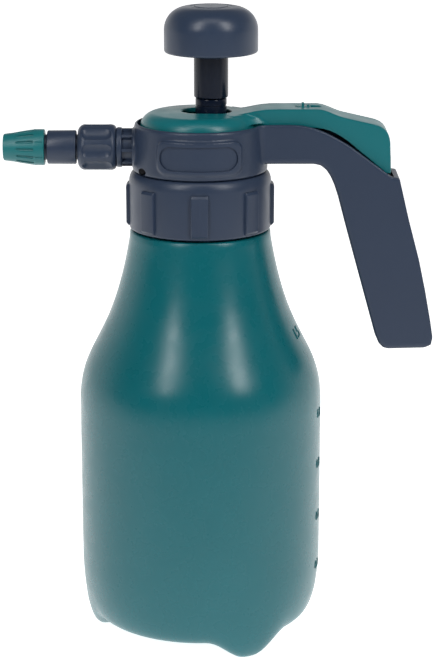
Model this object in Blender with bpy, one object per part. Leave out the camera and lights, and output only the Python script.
"""Hand-pumped compression sprayer.

A three-footed tank closed by a ribbed collar nut carries a head with a carrying grip, a long trigger
lever on a pin, an adjustable nozzle and a knob-topped plunger whose pump cylinder hangs inside the tank.

Lengths are in millimetres until finish() writes them to a mesh in metres. Outlines are drawn about the
tank's axis, which stands at X = 0 in the outlines and at TANK_AXIS_X in the world. The nozzle points to -X.
"""

import math

import bmesh
import bpy
from mathutils import Matrix, Vector
from mathutils.geometry import interpolate_bezier

MM = 0.001
GAP = 0.3
ROUND = 36
SMALL_ROUND = 20
TINY_ROUND = 12

# Overall places, measured from the tank's axis and from the floor.
NOZZLE_TIP_X = -96.0
GRIP_TOE_X = 116.3
TANK_AXIS_X = -(NOZZLE_TIP_X + GRIP_TOE_X) / 2
TOP_Z = 318.0

# Tank.
TANK_R = 60.4
TANK_WALL = 2.0
SHOULDER_START_Z = 120.5
SHOULDER_TOP_R = 34.8
SHOULDER_TOP_Z = 205.0
TANK_DECK_Z = 208.6
NECK_R = 29.5
NECK_BORE_R = 27.5
NECK_TOP_Z = 225.0
THREAD_R = 31.2
BASE_Z = 9.6
BASE_CENTRE_Z = 11.5
PAD_INNER_R = 43.0
PAD_OUTER_R = 50.0
FOOT_ANGLES = (60.0, 180.0, 300.0)
PAD_HALF_ANGLE = 10.5
FOOT_HALF_ANGLE = 52.0

# Collar nut.
COLLAR_R = 34.9
COLLAR_RIB_R = 36.3
COLLAR_BOTTOM_Z = 209.6
COLLAR_TOP_Z = 237.8
COLLAR_SHOULDER_R = 31.7
COLLAR_SEAT_Z = 235.0
COLLAR_LIP_Z = 230.4
COLLAR_BORE_R = 32.2
COLLAR_LIP_R = 28.2
COLLAR_RIBS = 8
COLLAR_RIB_HALF_WIDTH = 4.2

# Head: round housing, arm and grip.
FLANGE_R = 31.5
FLANGE_Z = (227.0, 230.0)
HEAD_NECK_R = 27.8
HEAD_NECK_BORE_R = 25.0
HEAD_BOTTOM_Z = 235.3
HEAD_FLOOR_Z = 238.0
HEAD_R = 33.0
HEAD_FOOT_R = 31.4
HEAD_STEP_Z = 238.1
HEAD_BORE_R = 30.6
HEAD_RIM_Z = 261.5
ARM_START_X = 29.3
ARM_TOP_Z = 262.0
ARM_UNDERSIDE_Z = 242.8
ARM_FLOOR_Z = 250.5
ARM_HALF_WIDTH = 13.0
ARM_WALL = 2.2
GRIP_EDGE_BEVEL = 3.5

# Trigger lever on its pin.
PIN_X = -27.8
PIN_Z = 240.0
PIN_R = 1.5
PIN_HALF_LENGTH = 15.5
LEVER_DISC_X = -0.6
LEVER_DISC_R = 28.4
LEVER_HALF_WIDTH = 10.0
LEVER_WALL = 1.8
LEVER_LEG_Y = (5.6, 8.2)
LEVER_EYE_R = 2.4
LEVER_HOLE_X = (-9.0, 15.3)
LEVER_HOLE_HALF_WIDTH = 8.5
LOCK_SLOT_X = (46.4, 58.6)
LOCK_SLOT_HALF_WIDTH = 3.0

# Liquid path: dip tube, valve and nozzle, all on one level axis.
NOZZLE_Z = 249.1
DIP_TUBE_X = -19.0
DIP_TUBE_R = 3.0
DIP_TUBE_BORE_R = 2.0
VALVE_R = 5.0
STEM_R = 1.5
SPRING_WIRE_R = 0.3
SPRING_COIL_R = 2.45
SPRING_X = (-38.0, -24.6)
SPRING_TURNS = 5
NUT_R = 11.15
NUT_FLUTES = 8
BARREL_R = 8.3
SPIGOT_R = 7.4

# Pump.
PUMP_X = 5.4
CYLINDER_R = 15.0
CYLINDER_BORE_R = 13.4
CYLINDER_BOTTOM_Z = 114.0
GUIDE_R = 7.65
GUIDE_TOP_Z = 273.6
ROD_R = 4.0
SLEEVE_R = 8.05
KNOB_R = 22.4
KNOB_BOTTOM_Z = 297.0


def clear_scene():
    for old in list(bpy.data.objects):
        bpy.data.objects.remove(old, do_unlink=True)


def finish_look(name, colour, roughness, metallic=0.0):
    """A Principled material with one colour, given as red, green and blue."""
    look = bpy.data.materials.new(name)
    look.use_nodes = True
    shader = look.node_tree.nodes["Principled BSDF"]
    shader.inputs["Base Color"].default_value = (*colour, 1.0)
    shader.inputs["Roughness"].default_value = roughness
    shader.inputs["Metallic"].default_value = metallic
    return look


def make_looks():
    return {
        "tank": finish_look("tank_teal", (0.028, 0.141, 0.168), 0.32),
        "teal": finish_look("lever_teal", (0.030, 0.180, 0.200), 0.30),
        "cap": finish_look("nozzle_cap_teal", (0.036, 0.160, 0.180), 0.38),
        "slate": finish_look("head_slate", (0.030, 0.040, 0.062), 0.45),
        "knob": finish_look("knob_slate", (0.037, 0.054, 0.089), 0.40),
        "navy": finish_look("rod_navy", (0.008, 0.014, 0.026), 0.12),
        "clear": finish_look("tube_clear", (0.640, 0.680, 0.700), 0.20),
        "white": finish_look("pump_white", (0.700, 0.700, 0.680), 0.40),
        "rubber": finish_look("seal_rubber", (0.012, 0.012, 0.013), 0.70),
        "steel": finish_look("spring_steel", (0.560, 0.570, 0.580), 0.25, 1.0),
    }


def make_frame():
    """The empty that every piece hangs from: it puts the tank's axis in its place."""
    frame = bpy.data.objects.new("sprayer_frame", None)
    frame.location = (TANK_AXIS_X * MM, 0.0, 0.0)
    bpy.context.scene.collection.objects.link(frame)
    return frame


def close(bm):
    """Turns every face of a finished shape outward."""
    bmesh.ops.remove_doubles(bm, verts=bm.verts, dist=1e-4)
    bmesh.ops.recalc_face_normals(bm, faces=bm.faces)
    return bm


def turned(outline, steps=ROUND, at=(0.0, 0.0, 0.0), along="Z"):
    """The solid that an outline of (radius, height) points sweeps in one full turn.

    An outline that starts and ends on the axis closes there, and any other one closes on itself.
    """
    bm = bmesh.new()
    verts = [bm.verts.new((radius, 0.0, height)) for radius, height in outline]
    pairs = list(zip(verts, verts[1:]))
    if outline[0][0] > 0.0 or outline[-1][0] > 0.0:
        pairs.append((verts[-1], verts[0]))
    edges = [bm.edges.new(pair) for pair in pairs]
    bmesh.ops.spin(
        bm, geom=verts + edges, cent=(0, 0, 0), axis=(0, 0, 1), angle=math.tau, steps=steps, use_merge=True
    )
    close(bm)
    if along == "X":
        bmesh.ops.rotate(bm, verts=bm.verts, matrix=Matrix.Rotation(math.pi / 2, 3, "Y"))
    if along == "Y":
        bmesh.ops.rotate(bm, verts=bm.verts, matrix=Matrix.Rotation(-math.pi / 2, 3, "X"))
    bmesh.ops.translate(bm, verts=bm.verts, vec=at)
    return bm


def disc(radius, low, high, steps=SMALL_ROUND, at=(0.0, 0.0, 0.0), along="Z"):
    """A plain cylinder from low to high on its axis."""
    return turned([(0.0, low), (radius, low), (radius, high), (0.0, high)], steps, at, along)


def ring(inner, outer, low, high, steps=SMALL_ROUND, at=(0.0, 0.0, 0.0), along="Z"):
    """A plain tube from low to high on its axis."""
    return turned([(outer, low), (outer, high), (inner, high), (inner, low)], steps, at, along)


def extruded(outline, start, end, along="Y", bevel=0.0, keep_sharp=None):
    """The prism of an outline between two places on the given axis.

    The outline is (x, z) along Y and (x, y) along Z. A bevel rounds both of its long rims, except at the
    points for which keep_sharp is true.
    """
    bm = bmesh.new()
    if along == "Y":
        points = [(a, start, b) for a, b in outline]
        travel = (0.0, end - start, 0.0)
    else:
        points = [(a, b, start) for a, b in outline]
        travel = (0.0, 0.0, end - start)
    face = bm.faces.new([bm.verts.new(point) for point in points])
    grown = bmesh.ops.extrude_face_region(bm, geom=[face])
    moved = [item for item in grown["geom"] if isinstance(item, bmesh.types.BMVert)]
    bmesh.ops.translate(bm, verts=moved, vec=travel)
    close(bm)
    if bevel > 0.0:
        rim = []
        for edge in bm.edges:
            a, b = (vert.co for vert in edge.verts)
            crosses = abs((a - b).dot(Vector(travel))) > 1e-6
            sharp = keep_sharp is not None and keep_sharp(a) and keep_sharp(b)
            if not crosses and not sharp:
                rim.append(edge)
        bmesh.ops.bevel(
            bm, geom=rim, offset=bevel, segments=2, profile=0.5, affect="EDGES", clamp_overlap=True
        )
    return close(bm)


def block(x, y, z):
    """A box between pairs of X, Y and Z."""
    return extruded([(x[0], z[0]), (x[1], z[0]), (x[1], z[1]), (x[0], z[1])], y[0], y[1])


def merged(shapes):
    """Several shapes in one mesh, which stay apart until a union joins them."""
    bm = bmesh.new()
    for shape in shapes:
        mesh = bpy.data.meshes.new("part_of_a_group")
        shape.to_mesh(mesh)
        shape.free()
        bm.from_mesh(mesh)
        bpy.data.meshes.remove(mesh)
    return bm


def stadium(x, half_width, steps=8):
    """A slot outline in X and Y with round ends."""
    outline = arc((x[1] - half_width, 0.0), half_width, -90.0, 90.0, steps)
    outline += arc((x[0] + half_width, 0.0), half_width, 90.0, 270.0, steps)
    return outline


def arc(centre, radius, start, end, steps):
    """Points on an arc, with its angles in degrees from the first axis. The radius may be a pair."""
    across, up = radius if isinstance(radius, tuple) else (radius, radius)
    points = []
    for step in range(steps + 1):
        angle = math.radians(start + (end - start) * step / steps)
        points.append((centre[0] + across * math.cos(angle), centre[1] + up * math.sin(angle)))
    return points


def curve(start, start_handle, end_handle, end, steps):
    """Points on a cubic curve between two ends with their handles."""
    corners = [Vector((*point, 0.0)) for point in (start, start_handle, end_handle, end)]
    return [(point.x, point.y) for point in interpolate_bezier(*corners, steps + 1)]


def finish(name, bm, look=None, pivot=(0.0, 0.0, 0.0)):
    """An object in metres whose origin is at its pivot."""
    bmesh.ops.translate(bm, verts=bm.verts, vec=-Vector(pivot))
    bmesh.ops.scale(bm, verts=bm.verts, vec=(MM, MM, MM))
    mesh = bpy.data.meshes.new(name)
    bm.to_mesh(mesh)
    bm.free()
    mesh.shade_smooth()
    mesh.set_sharp_from_angle(angle=math.radians(35.0))
    if look is not None:
        mesh.materials.append(look)
    piece = bpy.data.objects.new(name, mesh)
    piece.location = Vector(pivot) * MM
    piece.parent = FRAME
    bpy.context.scene.collection.objects.link(piece)
    return piece


def shape_with(piece, operation, bm):
    """Adds or cuts a shape on a piece with a Boolean modifier, and hides the shape itself."""
    number = len(piece.modifiers) + 1
    guide = finish(f"{piece.name}_{operation.lower()}_{number}", bm)
    guide.hide_render = True
    guide.display_type = "WIRE"
    modifier = piece.modifiers.new(f"{operation.title()} {number}", "BOOLEAN")
    modifier.operation = operation
    modifier.solver = "EXACT"
    modifier.object = guide


def add(piece, bm):
    shape_with(piece, "UNION", bm)


def cut(piece, bm):
    shape_with(piece, "DIFFERENCE", bm)


def foot_share(angle):
    """How far the base has sunk into a foot at an angle in degrees: 1 on its pad, 0 between the feet."""
    away = min(abs((angle - foot + 180.0) % 360.0 - 180.0) for foot in FOOT_ANGLES)
    if away <= PAD_HALF_ANGLE:
        return 1.0
    if away >= FOOT_HALF_ANGLE:
        return 0.0
    return 0.5 + 0.5 * math.cos(math.pi * (away - PAD_HALF_ANGLE) / (FOOT_HALF_ANGLE - PAD_HALF_ANGLE))


def tank_outer_outline(share):
    """The tank's outside from the middle of the base to the neck's rim, where the foot's share is given."""
    low = BASE_Z * (1.0 - share)
    outline = curve((0.0, BASE_CENTRE_Z), (24.0, BASE_CENTRE_Z), (35.0, low), (PAD_INNER_R, low), 4)
    heel_handle = (56.0 - 2.0 * share, low)
    side_handle = (59.5, 19.0 - 4.0 * share)
    outline += curve((PAD_OUTER_R, low), heel_handle, side_handle, (TANK_R - 0.1, 40.0), 5)
    shoulder = ((TANK_R, SHOULDER_START_Z), (TANK_R, 152.2), (44.2, 148.4), (SHOULDER_TOP_R, SHOULDER_TOP_Z))
    outline += curve(*shoulder, 8)
    outline += arc((SHOULDER_TOP_R - 1.4, TANK_DECK_Z - 1.6), (1.4, 1.6), 0.0, 90.0, 2)
    outline += [(NECK_R, TANK_DECK_Z)]
    for bottom in (212.0, 217.0):
        outline += [(NECK_R, bottom), (THREAD_R, bottom + 0.9)]
        outline += [(THREAD_R, bottom + 1.7), (NECK_R, bottom + 2.6)]
    outline += [(NECK_R, NECK_TOP_Z)]
    return outline


def tank_inner_outline(share):
    """The tank's inside from the neck's rim down to the middle of the floor."""
    low = BASE_Z * (1.0 - share) + TANK_WALL
    side_r = TANK_R - TANK_WALL
    outline = [(NECK_BORE_R, NECK_TOP_Z), (NECK_BORE_R, 207.0)]
    shoulder = ((SHOULDER_TOP_R - 2.3, 203.5), (42.0, 147.6), (side_r, 150.8), (side_r, SHOULDER_START_Z))
    outline += curve(*shoulder, 5)
    outline += curve((side_r, 40.0), (57.4, 20.0 - 4.0 * share), (54.0 - 2.0 * share, low), (49.0, low), 4)
    centre_z = BASE_CENTRE_Z + TANK_WALL
    outline += curve((44.0, low), (35.0, low), (24.0, centre_z), (0.0, centre_z), 3)
    return outline


def tank_shell():
    """The tank's wall, built ring by ring because its three feet grow out of the turned shape."""
    bm = bmesh.new()
    columns = []
    for step in range(ROUND):
        angle = 360.0 * step / ROUND
        share = foot_share(angle)
        turn = Matrix.Rotation(math.radians(angle), 3, "Z")
        outline = tank_outer_outline(share) + tank_inner_outline(share)
        columns.append([bm.verts.new(turn @ Vector((radius, 0.0, height))) for radius, height in outline])
    for left, right in zip(columns, columns[1:] + columns[:1]):
        for low in range(len(left) - 1):
            bm.faces.new((left[low], right[low], right[low + 1], left[low + 1]))
    return close(bm)


def make_tank():
    finish("tank", tank_shell(), LOOKS["tank"])


def make_collar():
    outline = [(COLLAR_BORE_R, COLLAR_BOTTOM_Z), (33.1, COLLAR_BOTTOM_Z), (COLLAR_R, 211.4)]
    outline += arc((COLLAR_R - 2.9, 232.6), (2.9, COLLAR_TOP_Z - 232.6), 0.0, 90.0, 4)
    outline += [(COLLAR_SHOULDER_R, COLLAR_TOP_Z), (COLLAR_SHOULDER_R, COLLAR_SEAT_Z), (COLLAR_LIP_R, COLLAR_SEAT_Z)]
    outline += [(COLLAR_LIP_R, COLLAR_LIP_Z), (COLLAR_BORE_R, COLLAR_LIP_Z)]
    collar = finish("collar_nut", turned(outline), LOOKS["slate"])
    rib = [(33.6, 211.2), (35.2, 211.2), (COLLAR_RIB_R, 212.6)]
    rib += [(COLLAR_RIB_R, 229.3), (35.2, 230.7), (33.6, 230.7)]
    ribs = []
    for number in range(COLLAR_RIBS):
        bm = extruded(rib, -COLLAR_RIB_HALF_WIDTH, COLLAR_RIB_HALF_WIDTH)
        turn = Matrix.Rotation(math.tau * number / COLLAR_RIBS, 3, "Z")
        bmesh.ops.rotate(bm, verts=bm.verts, matrix=turn)
        ribs.append(bm)
    add(collar, merged(ribs))


def make_neck_gasket():
    gasket = ring(NECK_BORE_R, FLANGE_R, NECK_TOP_Z + GAP, FLANGE_Z[0] - GAP, ROUND)
    finish("neck_gasket", gasket, LOOKS["rubber"])


def head_housing():
    """The round cup under the lever, with the neck that the collar nut turns on."""
    outline = [(0.0, HEAD_BOTTOM_Z), (HEAD_NECK_BORE_R, HEAD_BOTTOM_Z), (HEAD_NECK_BORE_R, FLANGE_Z[1] + GAP)]
    outline += [(HEAD_NECK_R, FLANGE_Z[1] + GAP), (HEAD_NECK_R, HEAD_BOTTOM_Z), (HEAD_FOOT_R, HEAD_BOTTOM_Z)]
    outline += [(HEAD_FOOT_R, HEAD_STEP_Z), (HEAD_R - 0.6, HEAD_STEP_Z), (HEAD_R, HEAD_STEP_Z + 0.6), (HEAD_R, 241.0)]
    outline += [ (HEAD_R - 0.7, 254.0), (HEAD_R - 1.1, 260.5)]
    outline += [(HEAD_R - 1.8, HEAD_RIM_Z), (HEAD_BORE_R, HEAD_RIM_Z)]
    outline += [(HEAD_BORE_R, HEAD_FLOOR_Z), (0.0, HEAD_FLOOR_Z)]
    return turned(outline)


def arm_and_grip():
    """The arm behind the housing and the grip that runs down from it, seen from the side."""
    outline = [(ARM_START_X, ARM_TOP_Z), (50.0, ARM_TOP_Z), (59.0, 259.6), (73.0, 251.4), (93.0, 236.6)]
    outline += curve((95.0, 236.6), (96.9, 236.4), (97.8, 232.0), (98.6, 228.7), 3)
    outline += [(GRIP_TOE_X, 155.4)]
    outline += curve((GRIP_TOE_X, 153.0), (GRIP_TOE_X, 150.6), (114.6, 149.0), (112.0, 149.0), 3)
    outline += [(92.6, 149.0), (90.4, 149.6), (86.2, 157.5), (71.4, 210.6)]
    outline += curve((69.3, 218.0), (66.0, 231.0), (63.8, ARM_UNDERSIDE_Z), (55.5, ARM_UNDERSIDE_Z), 4)
    outline += [(ARM_START_X, ARM_UNDERSIDE_Z)]

    def on_open_top(place):
        return place.z > 236.0 and place.x < 96.0 and place.z > 249.0 - 0.75 * max(0.0, place.x - 62.0)

    return extruded(outline, -ARM_HALF_WIDTH, ARM_HALF_WIDTH, "Y", GRIP_EDGE_BEVEL, on_open_top)


def channel():
    """The hollow of the arm and the grip, open at the top for the lever."""
    half = ARM_HALF_WIDTH - ARM_WALL
    outline = [(26.0, 275.0), (26.0, ARM_FLOOR_Z), (52.0, ARM_FLOOR_Z)]
    outline += [(62.0, 241.6), (68.6, 230.0), (73.9, 211.4), (88.7, 158.4), (92.4, 151.8)]
    outline += [(111.6, 151.8), (113.6, 155.6), (96.2, 228.2), (94.2, 233.5), (94.2, 275.0)]
    return extruded(outline, -half, half)


def make_head():
    head = finish("head_body", head_housing(), LOOKS["slate"])
    cut(head, disc(GUIDE_R + GAP, 230.0, 245.0, SMALL_ROUND, (PUMP_X, 0.0, 0.0)))
    cut(head, disc(DIP_TUBE_R + GAP, 230.0, 245.0, TINY_ROUND, (DIP_TUBE_X, 0.0, 0.0)))
    near, far = LEVER_LEG_Y
    for side in (-1, 1):
        across = sorted((side * (near - 0.6), side * (far + 0.6)))
        cut(head, block((-30.5, -23.0), across, (237.0, 243.0)))
    cut(head, disc(PIN_R + GAP, -25.0, 25.0, TINY_ROUND, (PIN_X, 0.0, PIN_Z), "Y"))
    add(head, arm_and_grip())
    cut(head, channel())
    stub = [(0.0, -30.8), (8.75, -30.8), (8.75, -37.9), (9.75, -37.9), (9.75, -40.8), (SPIGOT_R, -40.8)]
    stub += [(SPIGOT_R, -52.4), (SPIGOT_R - 0.6, -53.0), (0.0, -53.0)]
    at_nozzle = (0.0, 0.0, NOZZLE_Z)
    add(head, turned(stub, SMALL_ROUND, at_nozzle, "X"))
    for number in range(4):
        rib = block((-38.4, -32.6), (-1.0, 1.0), (8.0, 9.6))
        bmesh.ops.rotate(rib, verts=rib.verts, matrix=Matrix.Rotation(number * math.pi / 2, 3, "X"))
        bmesh.ops.translate(rib, verts=rib.verts, vec=at_nozzle)
        add(head, rib)
    cut(head, disc(VALVE_R + GAP, -60.0, -25.0, SMALL_ROUND, at_nozzle, "X"))


def make_pivot_pin():
    pin = disc(PIN_R, -PIN_HALF_LENGTH, PIN_HALF_LENGTH, TINY_ROUND, (PIN_X, 0.0, PIN_Z), "Y")
    finish("pivot_pin", pin, LOOKS["steel"])


def lever_disc():
    """The round plate over the housing: a low crown, a wide bevel and a short skirt."""
    outline = [(0.0, 265.3), (22.2, 264.4), (26.6, 260.4), (26.6, 257.0), (LEVER_DISC_R, 257.0)]
    outline += [(LEVER_DISC_R, 261.2), (23.0, 266.4), (12.0, 267.1), (0.0, 267.3)]
    return turned(outline, ROUND, (LEVER_DISC_X, 0.0, 0.0))


def lever_arm():
    """The lever's long back end, seen from the side, before it is hollowed."""
    outline = [(17.0, 259.5), (17.0, 266.2), (23.0, 266.8), (27.5, 267.6), (33.0, 269.3), (57.0, 269.3)]
    outline += curve((57.0, 269.3), (61.0, 269.2), (64.5, 266.5), (68.0, 265.5), 3)[1:]
    outline += [(84.0, 262.0)]
    outline += curve((84.0, 262.0), (89.5, 261.0), (91.9, 258.5), (92.3, 253.5), 3)[1:]
    outline += [(92.9, 238.0), (90.6, 238.0), (60.0, 257.4), (50.0, 259.5)]
    return extruded(outline, -LEVER_HALF_WIDTH, LEVER_HALF_WIDTH, "Y", 1.2, lambda place: place.z < 260.0)


def lever_hollow():
    """The open underside of the lever's back end."""
    half = LEVER_HALF_WIDTH - LEVER_WALL
    outline = [(14.0, 250.0), (14.0, 264.2), (24.0, 264.4), (33.0, 267.2), (60.5, 266.9), (67.6, 263.6)]
    outline += [(83.5, 260.2), (88.6, 258.2), (90.3, 253.4), (91.0, 230.0), (60.0, 230.0)]
    return extruded(outline, -half, half)


def lever_leg():
    """One leg's outline in X and Z: a strip from the plate down to the eye round the pin."""
    outline = arc((PIN_X, PIN_Z), LEVER_EYE_R, 160.0, 380.0, 9)
    return outline + [(-22.0, 247.0), (-22.0, 265.2), (-26.2, 262.0), (-26.6, 246.0)]


def make_lever():
    pivot = (PIN_X, 0.0, PIN_Z)
    lever = finish("trigger_lever", lever_disc(), LOOKS["teal"], pivot)
    add(lever, lever_arm())
    cut(lever, lever_hollow())
    near, far = LEVER_LEG_Y
    add(lever, merged([extruded(lever_leg(), -far, -near), extruded(lever_leg(), near, far)]))
    add(lever, block((-12.0, -10.0), (-6.0, 6.0), (244.8, 266.0)))
    cut(lever, block((-14.0, -8.0), (-STEM_R - 0.4, STEM_R + 0.4), (240.0, 252.8)))
    cut(lever, disc(PIN_R + GAP, -12.0, 12.0, TINY_ROUND, pivot, "Y"))
    cut(lever, extruded(stadium(LEVER_HOLE_X, LEVER_HOLE_HALF_WIDTH), 255.0, 275.0, "Z"))
    cut(lever, extruded(stadium(LOCK_SLOT_X, LOCK_SLOT_HALF_WIDTH, 4), 262.0, 275.0, "Z"))


def make_lock_slider():
    """A plate under the lever's top whose thumb block stands up through the slot."""
    plate = block((45.0, 55.6), (-5.0, 5.0), (265.0, 266.6))
    slider = finish("lock_slider", plate, LOOKS["slate"], (50.3, 0.0, 266.6))
    half = LOCK_SLOT_HALF_WIDTH - GAP
    add(slider, extruded(stadium((46.8, 53.9), half, 4), 266.0, 269.6, "Z"))
    for x, top in (((49.4, 50.6), 271.0), ((52.0, 53.0), 270.3)):
        add(slider, block(x, (-1.9, 1.9), (269.0, top)))


def make_valve():
    at_nozzle = (0.0, 0.0, NOZZLE_Z)
    bore = 3.4
    outline = [(VALVE_R, -50.0), (VALVE_R, -13.4), (3.0, -13.4), (3.0, -15.0), (STEM_R + GAP, -15.0)]
    outline += [(STEM_R + GAP, -16.2), (bore, -16.2), (bore, -22.8), (2.3, -22.8), (2.3, -24.0)]
    outline += [(bore, -24.0), (bore, -43.0), (2.0, -43.0), (2.0, -50.0)]
    body = finish("valve_body", turned(outline, SMALL_ROUND, at_nozzle, "X"), LOOKS["white"])
    at_tube = (DIP_TUBE_X, 0.0, 0.0)
    add(body, disc(4.4, 240.4, 245.4, SMALL_ROUND, at_tube))
    cut(body, disc(DIP_TUBE_R + GAP, 239.0, 243.8, TINY_ROUND, at_tube))
    cut(body, disc(DIP_TUBE_BORE_R - 0.1, 243.0, 247.5, TINY_ROUND, at_tube))
    stem = [(0.0, -40.7), (STEM_R, -40.7), (STEM_R, -39.6), (2.9, -39.6), (2.9, -38.6), (STEM_R, -38.6)]
    stem += [(STEM_R, -9.4), (3.2, -9.4), (3.2, -7.6), (0.0, -7.6)]
    finish("valve_stem", turned(stem, TINY_ROUND, at_nozzle, "X"), LOOKS["white"])
    finish("valve_poppet", disc(2.9, -42.7, -41.0, TINY_ROUND, at_nozzle, "X"), LOOKS["rubber"])
    seal = ring(STEM_R + GAP, 2.7, -14.7, -13.7, TINY_ROUND, at_nozzle, "X")
    finish("stem_seal", seal, LOOKS["rubber"])


def make_valve_spring():
    """A coil of round wire about the valve stem."""
    wire = bpy.data.curves.new("valve_spring", "CURVE")
    wire.dimensions = "3D"
    wire.bevel_depth = SPRING_WIRE_R * MM
    wire.bevel_resolution = 0
    wire.use_fill_caps = True
    spline = wire.splines.new("POLY")
    count = SPRING_TURNS * 10
    spline.points.add(count)
    for number in range(count + 1):
        share = number / count
        angle = math.tau * SPRING_TURNS * share
        along = SPRING_X[0] + (SPRING_X[1] - SPRING_X[0]) * share
        place = Vector((along, SPRING_COIL_R * math.cos(angle), NOZZLE_Z + SPRING_COIL_R * math.sin(angle)))
        spline.points[number].co = (*(place * MM), 1.0)
    wire.materials.append(LOOKS["steel"])
    spring = bpy.data.objects.new("valve_spring", wire)
    spring.parent = FRAME
    bpy.context.scene.collection.objects.link(spring)


def make_dip_tube():
    at_tube = (DIP_TUBE_X, 0.0, 0.0)
    finish("dip_tube", ring(DIP_TUBE_BORE_R, DIP_TUBE_R, 18.0, 243.5, TINY_ROUND, at_tube), LOOKS["clear"])
    outline = [(0.0, 14.4), (4.2, 14.4), (5.0, 15.2), (5.0, 28.0), (DIP_TUBE_R + GAP, 28.0)]
    outline += [(DIP_TUBE_R + GAP, 16.6), (0.0, 16.6)]
    strainer = finish("dip_tube_strainer", turned(outline, TINY_ROUND, at_tube), LOOKS["white"])
    cut(strainer, block((DIP_TUBE_X - 6.0, DIP_TUBE_X + 6.0), (-0.8, 0.8), (13.0, 22.0)))
    cut(strainer, block((DIP_TUBE_X - 0.8, DIP_TUBE_X + 0.8), (-6.0, 6.0), (13.0, 22.0)))


def make_nozzle():
    at_nozzle = (0.0, 0.0, NOZZLE_Z)
    barrel = [(2.5, -54.6), (7.3, -54.6), (7.3, -57.0), (6.2, -57.0), (6.2, -60.4)]
    barrel += [(BARREL_R, -60.4), (BARREL_R, -74.5), (6.2, -74.5), (6.2, -84.4), (5.6, -85.0)]
    barrel += [(4.0, -85.0), (4.0, -78.0), (2.5, -78.0)]
    finish("nozzle_barrel", turned(barrel, SMALL_ROUND, at_nozzle, "X"), LOOKS["slate"])
    finish("barrel_seal", ring(3.0, 7.0, -54.3, -53.3, SMALL_ROUND, at_nozzle, "X"), LOOKS["rubber"])
    nut = [(SPIGOT_R + GAP, -40.9), (NUT_R - 1.0, -40.9), (NUT_R, -42.2), (NUT_R, -57.8)]
    nut += [(NUT_R - 1.6, -59.4), (6.5, -59.4), (6.5, -57.3), (SPIGOT_R + GAP, -57.3)]
    nozzle_nut = finish("nozzle_nut", turned(nut, ROUND, at_nozzle, "X"), LOOKS["slate"], at_nozzle)
    flutes = []
    for number in range(NUT_FLUTES):
        angle = math.tau * number / NUT_FLUTES
        place = (0.0, 13.0 * math.cos(angle), NOZZLE_Z + 13.0 * math.sin(angle))
        flutes.append(disc(2.6, -61.0, -39.0, 12, place, "X"))
    cut(nozzle_nut, merged(flutes))
    core = [(0.0, -78.3), (3.7, -78.3), (3.7, -84.6), (2.0, -86.6), (1.4, -88.2), (0.0, -88.2)]
    finish("swirl_core", turned(core, TINY_ROUND, at_nozzle, "X"), LOOKS["white"])


def make_nozzle_cap():
    at_nozzle = (0.0, 0.0, NOZZLE_Z)
    bore = 6.6
    groove = 7.5
    outline = [(8.8, -75.8), (8.8, -79.5), (6.6, -95.2), (6.0, NOZZLE_TIP_X), (4.2, NOZZLE_TIP_X)]
    outline += [(3.4, -94.2), (0.9, -93.6), (0.9, -91.4), (3.6, -89.6), (4.4, -87.6), (bore, -87.4)]
    outline += [(bore, -79.6), (groove, -79.6), (groove, -78.0), (bore, -78.0), (bore, -75.8)]
    finish("nozzle_cap", turned(outline, SMALL_ROUND, at_nozzle, "X"), LOOKS["cap"], at_nozzle)
    seal = ring(6.5, 7.2, -79.3, -78.3, SMALL_ROUND, at_nozzle, "X")
    finish("cap_seal", seal, LOOKS["rubber"], at_nozzle)


def make_pump_cylinder():
    """The barrel under the plunger, hung from the round flange that the collar nut clamps."""
    at_pump = (PUMP_X, 0.0, 0.0)
    floor_z = CYLINDER_BOTTOM_Z + 3.0
    outline = [(0.0, 228.5), (CYLINDER_R, 228.5), (CYLINDER_R, CYLINDER_BOTTOM_Z + 1.2)]
    outline += [(13.8, CYLINDER_BOTTOM_Z), (9.6, CYLINDER_BOTTOM_Z), (9.6, 108.5), (0.0, 108.5)]
    cylinder = finish("pump_cylinder", turned(outline, SMALL_ROUND, at_pump), LOOKS["white"])
    add(cylinder, disc(FLANGE_R, FLANGE_Z[0], FLANGE_Z[1], ROUND))
    cut(cylinder, disc(CYLINDER_BORE_R, floor_z, 231.0, SMALL_ROUND, at_pump))
    cut(cylinder, disc(8.2, 107.0, CYLINDER_BOTTOM_Z, SMALL_ROUND, at_pump))
    cut(cylinder, disc(2.2, 112.0, 118.0, TINY_ROUND, at_pump))
    cut(cylinder, disc(DIP_TUBE_R + GAP, 225.0, 232.0, TINY_ROUND, (DIP_TUBE_X, 0.0, 0.0)))
    finish("check_valve", disc(6.5, 112.0, 113.7, SMALL_ROUND, at_pump), LOOKS["rubber"])
    finish("check_valve_cage", ring(2.5, 7.9, 108.8, 110.4, SMALL_ROUND, at_pump), LOOKS["white"])


def make_plunger_guide():
    at_pump = (PUMP_X, 0.0, 0.0)
    bore = ROD_R + GAP
    outline = [(bore, 230.3), (16.0, 230.3), (16.0, 233.3), (GUIDE_R, 233.3)]
    outline += arc((GUIDE_R - 1.2, GUIDE_TOP_Z - 1.2), 1.2, 0.0, 90.0, 3)
    outline += [(5.9, GUIDE_TOP_Z), (5.9, 271.2), (bore, 271.2)]
    finish("plunger_guide", turned(outline, SMALL_ROUND, at_pump), LOOKS["slate"])
    finish("rod_wiper", ring(bore, 5.6, 271.5, 273.2, SMALL_ROUND, at_pump), LOOKS["rubber"])


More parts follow.
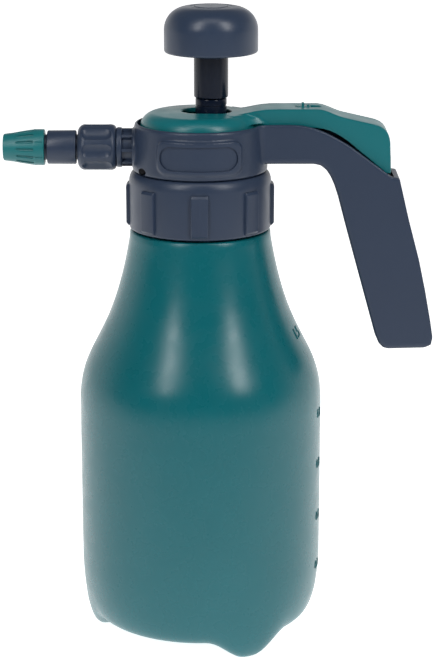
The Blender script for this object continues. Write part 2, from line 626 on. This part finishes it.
def make_plunger():
    at_pump = (PUMP_X, 0.0, 0.0)
    finish("plunger_rod", disc(ROD_R, 128.3, 304.5, SMALL_ROUND, at_pump), LOOKS["navy"], at_pump)
    low = GUIDE_TOP_Z + GAP
    sleeve = [(ROD_R + GAP, low), (SLEEVE_R, low), (SLEEVE_R, 304.5), (ROD_R + GAP, 304.5)]
    finish("plunger_sleeve", turned(sleeve, SMALL_ROUND, at_pump), LOOKS["navy"], at_pump)
    piston = [(0.0, 122.0), (11.8, 122.0), (12.6, 122.8), (12.6, 125.5), (10.2, 125.5)]
    piston += [(10.2, 129.5), (12.6, 129.5), (12.6, 132.4), (12.0, 133.0)]
    piston += [(ROD_R + GAP, 133.0), (ROD_R + GAP, 128.0), (0.0, 128.0)]
    finish("piston_head", turned(piston, SMALL_ROUND, at_pump), LOOKS["white"], at_pump)
    seal = ring(10.5, 13.1, 125.8, 129.2, SMALL_ROUND, at_pump)
    finish("piston_seal", seal, LOOKS["rubber"], at_pump)


def make_knob():
    """A hollow domed knob with a boss for the plunger, and the flat disc in its top."""
    at_pump = (PUMP_X, 0.0, 0.0)
    socket = SLEEVE_R + GAP
    outline = [(0.0, 304.8), (socket, 304.8), (socket, 295.6), (10.4, 295.6), (10.4, 310.5), (17.0, 310.5)]
    outline += [(20.2, 306.5), (20.2, KNOB_BOTTOM_Z)]
    outline += arc((KNOB_R - 1.6, KNOB_BOTTOM_Z + 1.6), 1.6, -90.0, 0.0, 2)
    outline += arc((KNOB_R - 9.6, 308.3), (9.6, 9.0), 0.0, 90.0, 6)
    outline += [(8.2, TOP_Z - 0.3), (8.2, TOP_Z - 2.0), (0.0, TOP_Z - 2.0)]
    finish("knob", turned(outline, ROUND, at_pump), LOOKS["knob"], at_pump)
    finish("knob_cap", disc(7.9, TOP_Z - 1.7, TOP_Z, SMALL_ROUND, at_pump), LOOKS["knob"], at_pump)


clear_scene()
LOOKS = make_looks()
FRAME = make_frame()
make_tank()
make_neck_gasket()
make_collar()
make_head()
make_pivot_pin()
make_lever()
make_lock_slider()
make_valve()
make_valve_spring()
make_dip_tube()
make_nozzle()
make_nozzle_cap()
make_pump_cylinder()
make_plunger_guide()
make_plunger()
make_knob()
